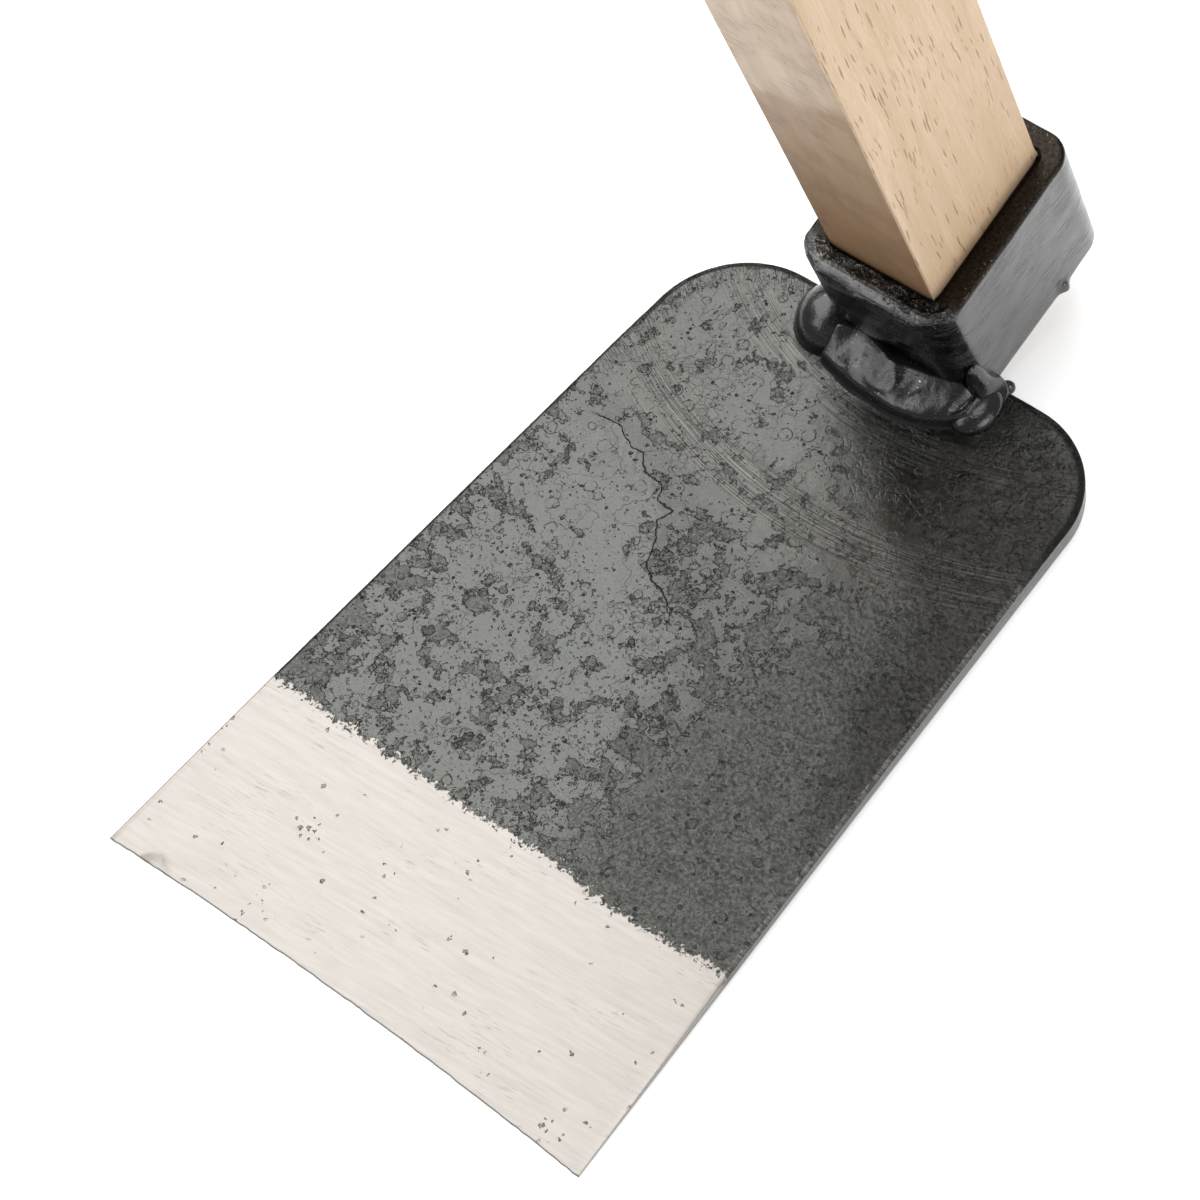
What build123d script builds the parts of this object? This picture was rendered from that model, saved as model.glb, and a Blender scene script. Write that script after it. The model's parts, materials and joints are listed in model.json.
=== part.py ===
"""Draw hoe: a flat forged blade welded to a square eye, on a wedged beech handle.

Units are millimetres, +Z is up. The hoe stands on the back of its blade: the cutting edge and the
back of the neck touch the floor at Z = 0, and the handle rises from the eye and leans forward over
the blade. The blade points along -Y and X = 0 is the plane of symmetry. The origin is on the floor,
in the middle of the hoe's overall length and width.
"""
import os
from math import atan2, cos, radians, sin, tan

from build123d import *

# Blade, measured along its inner face from where that face meets the eye's front wall
edge_width = 150.0
shoulder_width = 127.2
blade_length = 221.0
blade_overhang = 8.5
shoulder_radius = 27.4
edge_hollow = 2.0
bevel_length = 58.0
neck_thickness = 6.5
web_thickness = 4.6
bevel_thickness = 2.8
bevel_drop = 1.2
edge_thickness = 0.4
rim_chamfer = 1.0

# Angle between the blade's inner face and the handle, in degrees
head_angle = 76.1

# Handle: rectangular from the eye up, round at the grip
handle_width = 32.4
handle_depth = 45.0
handle_arris = 0.8
tenon_arris = 2.4
square_reach = 240.0
blend_reach = 420.0
handle_reach = 1180.0
grip_radius = 16.0
butt_radius = 6.0

# Eye: a square ring of heavy strap, measured down from its near rim
strap = 6.8
eye_clearance = 0.3
eye_depth = 47.5
eye_corner = 8.0
eye_inner_corner = 2.0
eye_edge = 1.2
seat_drop = 42.0

# Wedge driven into the far end of the handle
wedge_width = 26.0
wedge_depth = 30.0
wedge_thick = 5.0
wedge_thin = 1.6
wedge_clearance = 0.1

# Welds
weld_gap = 0.05
root_half_length = 27.0
root_leg = 12.0
cap_half_length = 31.5
cap_leg = 16.0
cap_height = 7.0
seam_half_length = 17.0
seam_height = 5.0
seam_proud = 1.5
side_bead_radius = 5.0

# Outside sizes of the eye
eye_width = handle_width + 2 * (eye_clearance + strap)
eye_length = handle_depth + 2 * (eye_clearance + strap)
eye_front = eye_length / 2

# The blade's inner face falls from the neck to the cutting edge, and the handle leans with it
edge_height = bevel_drop + edge_thickness
rise = atan2(neck_thickness - edge_height, blade_length)
lean = radians(90 - head_angle) + rise
handle_dir = (0, -sin(lean), cos(lean))

# Where the inner face meets the eye, and the middle of the eye's near rim
butt_reach = handle_reach - butt_radius
front_reach = butt_reach * sin(lean) + (grip_radius - butt_radius) * cos(lean) + butt_radius
rear_reach = (eye_depth - eye_edge) * sin(lean) + (eye_front - eye_edge) * cos(lean) + eye_edge
eye_y = (front_reach - rear_reach) / 2
seat_y = eye_y - eye_front * cos(lean) + seat_drop * sin(lean)
seat_z = neck_thickness * cos(rise)
eye_z = seat_z + seat_drop * cos(lean) + eye_front * sin(lean)

# Working planes: across the handle, along the eye's side, on the inner face, along the blade
eye_plane = Plane(origin=(0, eye_y, eye_z), x_dir=(1, 0, 0), z_dir=handle_dir)
eye_side = Plane(origin=(0, eye_y, eye_z), x_dir=(0, cos(lean), sin(lean)), z_dir=(1, 0, 0))
face_plane = Plane(origin=(0, seat_y, seat_z), x_dir=(1, 0, 0), z_dir=(0, -sin(rise), cos(rise)))
blade_side = Plane(origin=(0, seat_y, seat_z), x_dir=(0, cos(rise), sin(rise)), z_dir=(1, 0, 0))
handle_axis = Axis((0, eye_y, eye_z), handle_dir)
eye_front_plane = Plane(
    origin=(0, eye_y - (eye_front + weld_gap) * cos(lean), eye_z - (eye_front + weld_gap) * sin(lean)),
    x_dir=(1, 0, 0),
    z_dir=(0, -cos(lean), -sin(lean)),
)

# Blade -----------------------------------------------------------------------------------------
half_edge = edge_width / 2
half_shoulder = shoulder_width / 2

# Long section, along the inner face and down from it; it overruns the outline at both ends
overrun = 1.0
neck_start = blade_overhang + overrun
neck_end = -blade_length / 24
neck_start_back = -neck_thickness - neck_start * tan(rise)
neck_end_back = -neck_thickness - neck_end * tan(rise)
bevel_start = bevel_length - blade_length
edge_end = -blade_length - overrun
edge_back = -edge_height + overrun * (bevel_thickness - edge_height) / bevel_length

with BuildPart() as blade:
    # Outline: nearly parallel sides, large round shoulders and a slightly hollow cutting edge
    with BuildSketch(face_plane):
        with BuildLine():
            Line((half_shoulder, blade_overhang), (-half_shoulder, blade_overhang))
            Line((-half_shoulder, blade_overhang), (-half_edge, -blade_length))
            ThreePointArc(
                (-half_edge, -blade_length),
                (0, -blade_length + edge_hollow),
                (half_edge, -blade_length),
            )
            Line((half_edge, -blade_length), (half_shoulder, blade_overhang))
        outline = make_face()
        fillet(outline.vertices().group_by(Axis.Y)[-1], shoulder_radius)
    extrude(amount=-2 * neck_thickness)
    # Broken edge round the inner face, everywhere but along the cutting edge
    inner_face = blade.faces().filter_by(lambda f: f.normal_at().dot(face_plane.z_dir) > 0.999)
    chamfer(inner_face.edges().sort_by(Axis.Y)[1:], rim_chamfer)
    # Long section: flat on the floor at the neck, thin in the web, ground from above to the edge
    with BuildSketch(blade_side):
        with BuildLine():
            Line((neck_start, neck_start_back), (neck_start, 0))
            Line((neck_start, 0), (bevel_start, 0))
            Line((bevel_start, 0), (edge_end, -bevel_drop - overrun * bevel_drop / bevel_length))
            Line((edge_end, -bevel_drop - overrun * bevel_drop / bevel_length), (edge_end, edge_back))
            Line((edge_end, edge_back), (bevel_start, -bevel_thickness))
            Spline(
                (bevel_start, -bevel_thickness),
                (-blade_length / 3, -web_thickness),
                (neck_end, neck_end_back),
                tangents=((1, 0), (1, -tan(rise))),
            )
            Line((neck_end, neck_end_back), (neck_start, neck_start_back))
        make_face()
    extrude(amount=half_edge + 1, both=True, mode=Mode.INTERSECT)
    # Notch that fits round the front wall of the eye
    with BuildSketch(eye_plane):
        notch = Rectangle(eye_width + 2 * weld_gap, eye_length + 2 * weld_gap)
        fillet(notch.vertices(), eye_corner)
    extrude(amount=-2 * eye_depth, mode=Mode.SUBTRACT)
blade.part.label = "blade"

# Eye -------------------------------------------------------------------------------------------
with BuildPart() as eye_ring:
    with BuildSketch(eye_plane):
        ring_outside = Rectangle(eye_width, eye_length)
        fillet(ring_outside.vertices(), eye_corner)
    extrude(amount=-eye_depth)
    fillet(eye_ring.faces().sort_by(handle_axis)[-1].edges(), eye_edge)
    fillet(eye_ring.faces().sort_by(handle_axis)[0].edges(), eye_edge)
    with BuildSketch(eye_plane):
        ring_inside = Rectangle(handle_width + 2 * eye_clearance, handle_depth + 2 * eye_clearance)
        fillet(ring_inside.vertices(), eye_inner_corner)
    extrude(amount=-eye_depth, mode=Mode.SUBTRACT)
eye_ring.part.label = "eye_ring"

# Handle ----------------------------------------------------------------------------------------
# Wedge slot, drawn once and used by the wedge and by its seat
wedge_line = [
    (-wedge_thick / 2, -eye_depth),
    (wedge_thick / 2, -eye_depth),
    (wedge_thin / 2, wedge_depth - eye_depth),
    (-wedge_thin / 2, wedge_depth - eye_depth),
]

with BuildPart() as handle:
    # Tenon through the eye, its corners eased to pass the ring's inner corners
    with BuildSketch(eye_plane.offset(-eye_depth)):
        tenon = Rectangle(handle_width, handle_depth)
        fillet(tenon.vertices(), tenon_arris)
    extrude(amount=eye_depth)
    # Rectangular length with sharp corners
    with BuildSketch(eye_plane):
        shaft = Rectangle(handle_width, handle_depth)
        fillet(shaft.vertices(), handle_arris)
    extrude(amount=square_reach)
    # Change from the rectangle to the round grip
    with BuildSketch(eye_plane.offset(square_reach)):
        shaft_end = Rectangle(handle_width, handle_depth)
        fillet(shaft_end.vertices(), handle_arris)
    with BuildSketch(eye_plane.offset(blend_reach)):
        Circle(grip_radius)
    loft()
    # Round grip with a rounded butt
    with BuildSketch(eye_plane.offset(blend_reach)):
        Circle(grip_radius)
    extrude(amount=handle_reach - blend_reach)
    fillet(handle.faces().sort_by(handle_axis)[-1].edges(), butt_radius)
    # Sawn slot for the wedge
    with BuildSketch(eye_side):
        with BuildLine():
            Polyline(*wedge_line, close=True)
        slot = make_face()
        offset(amount=wedge_clearance)
    extrude(amount=wedge_width / 2 + wedge_clearance, both=True, mode=Mode.SUBTRACT)
handle.part.label = "handle"

# Wedge, flush with the far end of the handle and running across the eye
with BuildPart() as wedge:
    with BuildSketch(eye_side):
        with BuildLine():
            Polyline(*wedge_line, close=True)
        make_face()
    extrude(amount=wedge_width / 2, both=True)
wedge.part.label = "wedge"

# Welds -----------------------------------------------------------------------------------------
def eye_outline():
    """Outside of the eye with the welding gap, on the eye's near rim."""
    with BuildSketch(eye_plane) as outline_sketch:
        around = Rectangle(eye_width + 2 * weld_gap, eye_length + 2 * weld_gap)
        fillet(around.vertices(), eye_corner)
    return outline_sketch.sketch


def half_ellipse(half_length, leg):
    """Half of a bead's outline on the inner face, closed by its long axis."""
    with BuildSketch(face_plane) as bead_sketch:
        with BuildLine():
            EllipticalCenterArc((0, 0), half_length, leg, start_angle=0, arc_size=180)
            Line((-half_length, 0), (half_length, 0))
        make_face()
    return bead_sketch.sketch


bead_axis = Axis((0, seat_y, seat_z), (1, 0, 0))
bead_reach = 4 * cap_half_length

# Root bead: half an ellipsoid in the corner between the inner face and the eye's front wall
with BuildPart() as neck_weld_root:
    revolve(half_ellipse(root_half_length, root_leg), axis=bead_axis)
    with BuildSketch(face_plane.offset(weld_gap)):
        Rectangle(bead_reach, bead_reach)
    extrude(amount=-bead_reach, mode=Mode.SUBTRACT)
    extrude(eye_outline(), amount=bead_reach, both=True, mode=Mode.SUBTRACT)
neck_weld_root.part.label = "neck_weld_root"

# Cap bead: a flattened crescent round the toe of the root bead
with BuildPart() as neck_weld_cap:
    revolve(half_ellipse(cap_half_length, cap_leg), axis=bead_axis)
    with BuildSketch(face_plane.offset(weld_gap)):
        Rectangle(bead_reach, bead_reach)
    extrude(amount=-bead_reach, mode=Mode.SUBTRACT)
    with BuildSketch(face_plane.offset(cap_height)):
        Rectangle(bead_reach, bead_reach)
    extrude(amount=bead_reach, mode=Mode.SUBTRACT)
    revolve(
        half_ellipse(root_half_length + weld_gap, root_leg + weld_gap),
        axis=bead_axis,
        mode=Mode.SUBTRACT,
    )
    extrude(eye_outline(), amount=bead_reach, both=True, mode=Mode.SUBTRACT)
neck_weld_cap.part.label = "neck_weld_cap"

# Seam bead: a low lump on the front wall, below the near rim, where the strap's ends meet
with BuildPart() as eye_seam:
    with BuildSketch(eye_front_plane):
        with Locations((0, -eye_edge - seam_height)):
            Ellipse(seam_half_length, seam_height)
    extrude(amount=seam_proud)
    fillet(eye_seam.faces().sort_by(Axis.Y)[0].edges(), seam_proud / 2)
eye_seam.part.label = "eye_seam"


# Side beads: in the corners between the blade's top edge and the eye's side walls
def side_bead(side):
    """Quarter-round bead on one side of the eye; side is -1 for left and 1 for right."""
    with BuildPart() as bead:
        with BuildSketch(face_plane.offset(-rim_chamfer)):
            with Locations((side * eye_width / 2, blade_overhang + weld_gap)):
                Circle(side_bead_radius)
            with Locations((side * eye_width / 2, blade_overhang + weld_gap - side_bead_radius)):
                Rectangle(2 * side_bead_radius, 2 * side_bead_radius, mode=Mode.SUBTRACT)
        extrude(amount=rim_chamfer - neck_thickness)
        extrude(eye_outline(), amount=bead_reach, both=True, mode=Mode.SUBTRACT)
    return bead


side_bead_left = side_bead(-1)
side_bead_left.part.label = "side_bead_left"
side_bead_right = side_bead(1)
side_bead_right.part.label = "side_bead_right"

os.makedirs("parts", exist_ok=True)
export_step(blade.part, "parts/blade.step")
export_step(eye_ring.part, "parts/eye_ring.step")
export_step(eye_seam.part, "parts/eye_seam.step")
export_step(handle.part, "parts/handle.step")
export_step(wedge.part, "parts/wedge.step")
export_step(neck_weld_root.part, "parts/neck_weld_root.step")
export_step(neck_weld_cap.part, "parts/neck_weld_cap.step")
export_step(side_bead_left.part, "parts/side_bead_left.step")
export_step(side_bead_right.part, "parts/side_bead_right.step")
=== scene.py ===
"""Draw hoe: the looks of the forged blade, the welded eye and the beech handle, on the CAD frame."""

import functools
import itertools
import json
import math

import bpy
import numpy as np
from mathutils import Matrix, Vector
from mathutils.bvhtree import BVHTree


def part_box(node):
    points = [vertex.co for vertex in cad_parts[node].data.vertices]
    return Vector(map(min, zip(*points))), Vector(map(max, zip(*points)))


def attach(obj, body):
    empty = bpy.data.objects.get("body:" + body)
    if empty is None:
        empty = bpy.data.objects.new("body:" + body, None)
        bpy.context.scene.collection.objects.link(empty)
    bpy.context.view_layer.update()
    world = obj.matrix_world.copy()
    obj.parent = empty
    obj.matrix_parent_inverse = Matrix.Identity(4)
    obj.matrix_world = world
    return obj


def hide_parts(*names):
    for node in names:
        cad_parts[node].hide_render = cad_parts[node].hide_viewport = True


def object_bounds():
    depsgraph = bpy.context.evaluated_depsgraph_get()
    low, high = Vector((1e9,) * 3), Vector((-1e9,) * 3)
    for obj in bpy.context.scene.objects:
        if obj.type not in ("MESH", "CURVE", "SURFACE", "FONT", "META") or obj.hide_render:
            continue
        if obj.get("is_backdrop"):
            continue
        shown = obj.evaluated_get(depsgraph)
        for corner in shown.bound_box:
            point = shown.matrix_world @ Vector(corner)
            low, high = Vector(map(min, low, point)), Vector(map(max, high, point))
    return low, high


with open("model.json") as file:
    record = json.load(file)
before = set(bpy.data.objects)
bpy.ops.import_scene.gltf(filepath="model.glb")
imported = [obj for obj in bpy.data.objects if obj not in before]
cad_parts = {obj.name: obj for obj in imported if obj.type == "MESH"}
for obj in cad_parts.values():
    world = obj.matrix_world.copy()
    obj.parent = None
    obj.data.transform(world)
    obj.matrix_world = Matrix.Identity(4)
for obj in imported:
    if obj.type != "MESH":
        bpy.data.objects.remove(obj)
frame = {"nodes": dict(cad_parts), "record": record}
cad_low, cad_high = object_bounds()

MM = 0.001  # the frame is in metres, and every size below in millimetres

# ------------------------------------------------------------------ sizes shared with the CAD model
EYE_HALF_WIDTH, EYE_HALF_LENGTH, EYE_DEPTH, EYE_CORNER = 23.3, 29.6, 47.5, 8.0
STRAP = 6.8  # wall of the ring
WOOD_HALF_WIDTH, WOOD_HALF_DEPTH = 16.2, 22.5
SQUARE_REACH, BLEND_REACH, HANDLE_REACH, GRIP_RADIUS, BUTT_RADIUS = 240.0, 420.0, 1180.0, 16.0, 6.0
EDGE_HALF, SHOULDER_HALF, BLADE_LENGTH, OVERHANG = 75.0, 63.6, 221.0, 8.5
SHOULDER_RADIUS, EDGE_HOLLOW, BEVEL_LENGTH = 27.4, 2.0, 58.0
SHOULDER_HEIGHT = OVERHANG - SHOULDER_RADIUS

# Marks of the blade, in millimetres across and towards the eye from the foot of the eye's front wall
ARC_CENTRE = (8.0, 82.0)  # the grinder swung round this point
# Centre of the chip's dent and of its painted shade
SHADED_CHIP = (-60.5, -221.5)

# ------------------------------------------------------------------ the two working frames
RISE = math.radians(1.27)  # the inner face falls from the neck to the cutting edge


def node_points(name):
    """The CAD node's vertices, in metres."""
    return np.array([v.co for v in frame["nodes"][name].data.vertices], float)


grip_axis = next(m for m in frame["record"]["mounts"] if m["name"] == "grip")["axis"]
up_handle = np.array(grip_axis, float) / np.linalg.norm(grip_axis)
LEAN = math.atan2(-up_handle[1], up_handle[2])
across_handle = np.array([0.0, math.cos(LEAN), math.sin(LEAN)])
ring = node_points("eye_ring")
depths = ring @ across_handle
eye_origin = up_handle * (ring @ up_handle).max() + across_handle * (depths.min() + depths.max()) / 2

up_face = np.array([0.0, math.cos(RISE), math.sin(RISE)])
off_face = np.array([0.0, -math.sin(RISE), math.cos(RISE)])
face_level = (node_points("blade") @ off_face).max()
wall_foot = eye_origin - across_handle * EYE_HALF_LENGTH * MM
seat = wall_foot + up_handle * (face_level - wall_foot @ off_face) / (up_handle @ off_face)
RIGHT = np.array([1.0, 0.0, 0.0])


def on_face(x, u, n):
    """Points of the frame from millimetres on the blade's inner face: across, towards the eye, off the face."""
    x, u, n = np.broadcast_arrays(*(np.asarray(a, float) for a in (x, u, n)))
    return seat + MM * (x[..., None] * RIGHT + u[..., None] * up_face + n[..., None] * off_face)


def on_eye(x, y, z):
    """Points of the frame from millimetres in the eye: across, front to back, up the handle from the near rim."""
    x, y, z = np.broadcast_arrays(*(np.asarray(a, float) for a in (x, y, z)))
    return eye_origin + MM * (x[..., None] * RIGHT + y[..., None] * across_handle + z[..., None] * up_handle)


# ------------------------------------------------------------------ arithmetic helpers
def ease(a, low, high):
    """0 below low, 1 above high, and smooth between."""
    t = np.clip((np.asarray(a, float) - low) / (high - low), 0, 1)
    return t * t * (3 - 2 * t)


CELL_HASH = (73856093, 19349663, 83492791)  # odd numbers that scatter neighbouring cells


def lumps(points, size, seed):
    """Smooth random heights from -1 to 1 at the points, with lumps of about that size."""
    q = np.asarray(points, float) / size
    cell = np.floor(q).astype(np.int64)
    f = q - cell
    f = f * f * (3 - 2 * f)
    total = np.zeros(q.shape[:-1])
    for corner in itertools.product((0, 1), repeat=3):
        h = np.bitwise_xor.reduce((cell + corner) * CELL_HASH, axis=-1)
        h = (h ^ (seed * 2654435761)) & 0xFFFFFFFF
        h = ((h ^ (h >> 13)) * 1274126177) & 0xFFFFFFFF
        h = ((h ^ (h >> 16)) * 668265263) & 0xFFFFFFFF
        value = ((h >> 8) & 0xFFFF) / 32767.5 - 1
        total += np.prod(np.where(corner, f, 1 - f), axis=-1) * value
    return total


def rough(points, size, seed, octaves=3):
    """lumps() with finer and fainter ones on top."""
    return sum(lumps(points, size / 2**k, seed + k) / 2**k for k in range(octaves))


def plane_points(x, y):
    """Points for lumps() on a plane between two layers of its cells."""
    return np.stack(np.broadcast_arrays(x, y, 0.37), axis=-1)


def lengths_round(outline):
    """How far along the outline each of its points is."""
    return np.concatenate([[0], np.cumsum(np.linalg.norm(np.diff(outline, axis=0), axis=1))])


def rounded_rectangle(half_x, half_y, radius, per_corner, along_x, along_y):
    """Points and outward directions round a rounded rectangle, anticlockwise from the front right corner."""
    points, normals = [], []
    steps = {0: along_y, 1: along_x, 2: along_y, 3: along_x}
    for k, (sx, sy) in enumerate(((1, -1), (1, 1), (-1, 1), (-1, -1))):
        centre = np.array([sx * (half_x - radius), sy * (half_y - radius)])
        start = (k - 1) * math.pi / 2
        for t in np.linspace(0, 1, per_corner + 1):
            a = start + t * math.pi / 2
            d = np.array([math.cos(a), math.sin(a)])
            points.append(centre + radius * d)
            normals.append(d)
        ahead = start + math.pi / 2
        d = np.array([math.cos(ahead), math.sin(ahead)])
        tangent = np.array([-d[1], d[0]])
        run = 2 * ((half_y if k % 2 == 0 else half_x) - radius)
        base = points[-1]
        for t in np.linspace(0, 1, steps[k] + 1)[1:-1]:
            points.append(base + tangent * run * t)
            normals.append(d)
    return np.array(points), np.array(normals)


def grid_faces(rows, columns, closed=False):
    """Quads between the points of a grid; closed joins the last column to the first."""
    index = np.arange(rows * columns).reshape(rows, columns)
    right = np.roll(index, -1, axis=1) if closed else index[:, 1:]
    left = index if closed else index[:, :-1]
    return np.stack([left[:-1], right[:-1], right[1:], left[1:]], axis=-1).reshape(-1, 4)


def end_fan(rows, columns, last=False):
    """Triangles over the first or last loop of a closed grid, to the point that follows the grid, or the next."""
    here = np.arange(columns)
    after = np.roll(here, -1)
    if not last:
        return [(rows * columns, b, a) for a, b in zip(here, after)]
    start = (rows - 1) * columns
    return [(rows * columns + 1, start + a, start + b) for a, b in zip(here, after)]


def make_piece(name, points, faces, marks, replaces, material):
    """A smooth mesh on the hoe's body; marks are vectors for the material to read, by name, one to a point."""
    mesh = bpy.data.meshes.new(name)
    mesh.from_pydata(points.reshape(-1, 3).tolist(), [], [list(map(int, f)) for f in faces])
    for label, values in marks.items():
        attribute = mesh.attributes.new(label, "FLOAT_VECTOR", "POINT")
        attribute.data.foreach_set("vector", np.asarray(values, np.float32).reshape(-1))
    mesh.polygons.foreach_set("use_smooth", [True] * len(mesh.polygons))
    mesh.update()
    piece = bpy.data.objects.new(name, mesh)
    bpy.context.scene.collection.objects.link(piece)
    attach(piece, "root")
    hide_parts(*replaces)
    mesh.materials.append(material)


# ------------------------------------------------------------------ node materials
class Finish:
    """A node material in the making. Each method adds nodes and gives back an output to go on with."""

    def __init__(self, name, **constants):
        self.material = bpy.data.materials.new(name)
        self.material.use_nodes = True
        self.tree = self.material.node_tree
        self.tree.nodes.clear()
        output = self.tree.nodes.new("ShaderNodeOutputMaterial")
        self.surface = self.tree.nodes.new("ShaderNodeBsdfPrincipled")
        self.tree.links.new(self.surface.outputs["BSDF"], output.inputs["Surface"])
        for socket, value in constants.items():
            self.surface.inputs[socket.replace("_", " ")].default_value = value

    def put(self, socket, value):
        """Links an output to the socket, or sets a number or a colour there."""
        if isinstance(value, bpy.types.NodeSocket):
            self.tree.links.new(value, socket)
            return
        if hasattr(socket.default_value, "__len__") and not hasattr(value, "__len__"):
            value = (value,) * 3
        if hasattr(value, "__len__") and len(socket.default_value) == 4 and len(value) == 3:
            value = (*value, 1.0)
        socket.default_value = value

    def node(self, kind, inputs=(), **settings):
        made = self.tree.nodes.new("ShaderNode" + kind)
        for key, value in settings.items():
            setattr(made, key, value)
        for key, value in dict(inputs).items():
            self.put(made.inputs[key], value)
        return made

    def maths(self, operation, a, b=0.0):
        return self.node("Math", {0: a, 1: b}, operation=operation).outputs[0]

    def fold(self, operation, terms):
        return functools.reduce(lambda a, b: self.maths(operation, a, b), terms)

    def sum(self, *terms):
        return self.fold("ADD", terms)

    def times(self, *terms):
        return self.fold("MULTIPLY", terms)

    def most(self, *terms):
        return self.fold("MAXIMUM", terms)

    def rest(self, share):
        return self.maths("SUBTRACT", 1.0, share)

    def length(self, a, b):
        return self.maths("SQRT", self.sum(self.times(a, a), self.times(b, b)))

    def line(self, value, low, high, start=0.0, end=1.0, kind="LINEAR"):
        """Straight change from start at low to end at high, held beyond them."""
        limits = {"Value": value, "From Min": low, "From Max": high, "To Min": start, "To Max": end}
        return self.node("MapRange", limits, interpolation_type=kind).outputs["Result"]

    def ramp(self, value, low, high, start=0.0, end=1.0):
        """Smooth change from start at low to end at high."""
        return self.line(value, low, high, start, end, "SMOOTHSTEP")

    def close_to(self, value, middle, outer, inner):
        """1 where the value is within inner of the middle, and 0 where it is further off than outer."""
        return self.ramp(self.maths("ABSOLUTE", self.sum(value, -middle)), outer, inner)

    def tint(self, share, a, b):
        """Colour a where share is 0, and b where it is 1."""
        made = self.node("Mix", data_type="RGBA")
        self.put(made.inputs[0], share)
        self.put(made.inputs[6], a)
        self.put(made.inputs[7], b)
        return made.outputs[2]

    def marks(self, name):
        """The vectors that make_piece() keeps with the mesh under that name."""
        return self.node("Attribute", attribute_name=name).outputs["Vector"]

    def parts(self, vector):
        made = self.node("SeparateXYZ", {0: vector})
        return made.outputs[0], made.outputs[1], made.outputs[2]

    def join(self, x, y, z=0.0):
        return self.node("CombineXYZ", {0: x, 1: y, 2: z}).outputs[0]

    def stretch(self, vector, scale, turn=0.0):
        """Coordinates turned about z in degrees, then scaled; a small scale draws the pattern out."""
        turned = self.node("VectorRotate", {"Vector": vector, "Angle": math.radians(turn)}, rotation_type="Z_AXIS")
        return self.node("VectorMath", {0: turned.outputs[0], 1: scale}, operation="MULTIPLY").outputs[0]

    def noise(self, vector, size, detail=2.0, roughness=0.5, distortion=0.0):
        settings = {"Detail": detail, "Roughness": roughness, "Distortion": distortion}
        return self.node("TexNoise", {"Vector": vector, "Scale": 1.0 / size, **settings}).outputs[0]

    def swirl(self, vector, size, amount, detail=2.0):
        """Coordinates pushed about by noise, by up to about that many millimetres."""
        made = self.node("TexNoise", {"Vector": vector, "Scale": 1.0 / size, "Detail": detail})
        centred = self.node("VectorMath", {0: made.outputs[1], 1: (0.5, 0.5, 0.5)}, operation="SUBTRACT")
        scaled = self.node("VectorMath", {0: centred.outputs[0], "Scale": 2.0 * amount}, operation="SCALE")
        return self.node("VectorMath", {0: vector, 1: scaled.outputs[0]}, operation="ADD").outputs[0]

    def cells(self, vector, size, feature="F1"):
        """Distance to the nearest cell point as a share of the cell size, and the cell's own random number."""
        made = self.node("TexVoronoi", {"Vector": vector, "Scale": 1.0 / size}, feature=feature)
        if feature == "DISTANCE_TO_EDGE":
            return made.outputs["Distance"], None
        return made.outputs["Distance"], self.node("SeparateColor", {0: made.outputs["Color"]}).outputs[0]

    def pits(self, vector, size, share, smallest=0.12, largest=0.42, soft=0.10):
        """Round pits: 1 inside and 0 outside. share of the cells have one, and no two are the same size."""
        distance, chance = self.cells(vector, size)
        reach = self.line(chance, 1.0 - share, 1.0, smallest, largest)
        there = self.maths("GREATER_THAN", chance, 1.0 - share)
        inside = self.ramp(self.maths("SUBTRACT", reach, distance), 0.0, soft)
        return self.times(inside, there)

    def finish(self, colour, roughness, metallic, height):
        """The finished material; height is in millimetres."""
        self.put(self.surface.inputs["Base Color"], colour)
        self.put(self.surface.inputs["Roughness"], roughness)
        self.put(self.surface.inputs["Metallic"], metallic)
        bump = self.node("Bump", {"Height": height, "Distance": MM})
        self.put(self.surface.inputs["Normal"], bump.outputs[0])
        return self.material


def grinding_arcs(m, x, u):
    """Light and dark grinding marks round the neck, in two bands."""
    across, below = m.sum(x, -ARC_CENTRE[0]), m.sum(u, -ARC_CENTRE[1])
    distance = m.length(across, below)
    bearing = m.maths("ARCTAN2", across, m.times(below, -1.0))
    arcs = m.noise(m.join(m.times(bearing, 1.3), distance), 0.30, 2.0, 0.6)
    near_band = m.times(m.ramp(distance, 95.0, 97.0), m.ramp(distance, 113.0, 102.0))
    far_band = m.times(m.ramp(distance, 124.0, 130.0), m.ramp(distance, 147.0, 138.0))
    broken = m.line(m.noise(m.join(m.times(bearing, 20.0), distance), 6.0, 2.0), 0.30, 0.46)
    bands = m.times(m.sum(near_band, far_band), broken)
    return m.times(m.ramp(arcs, 0.46, 0.62), bands), m.times(m.ramp(arcs, 0.46, 0.36), bands)


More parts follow.
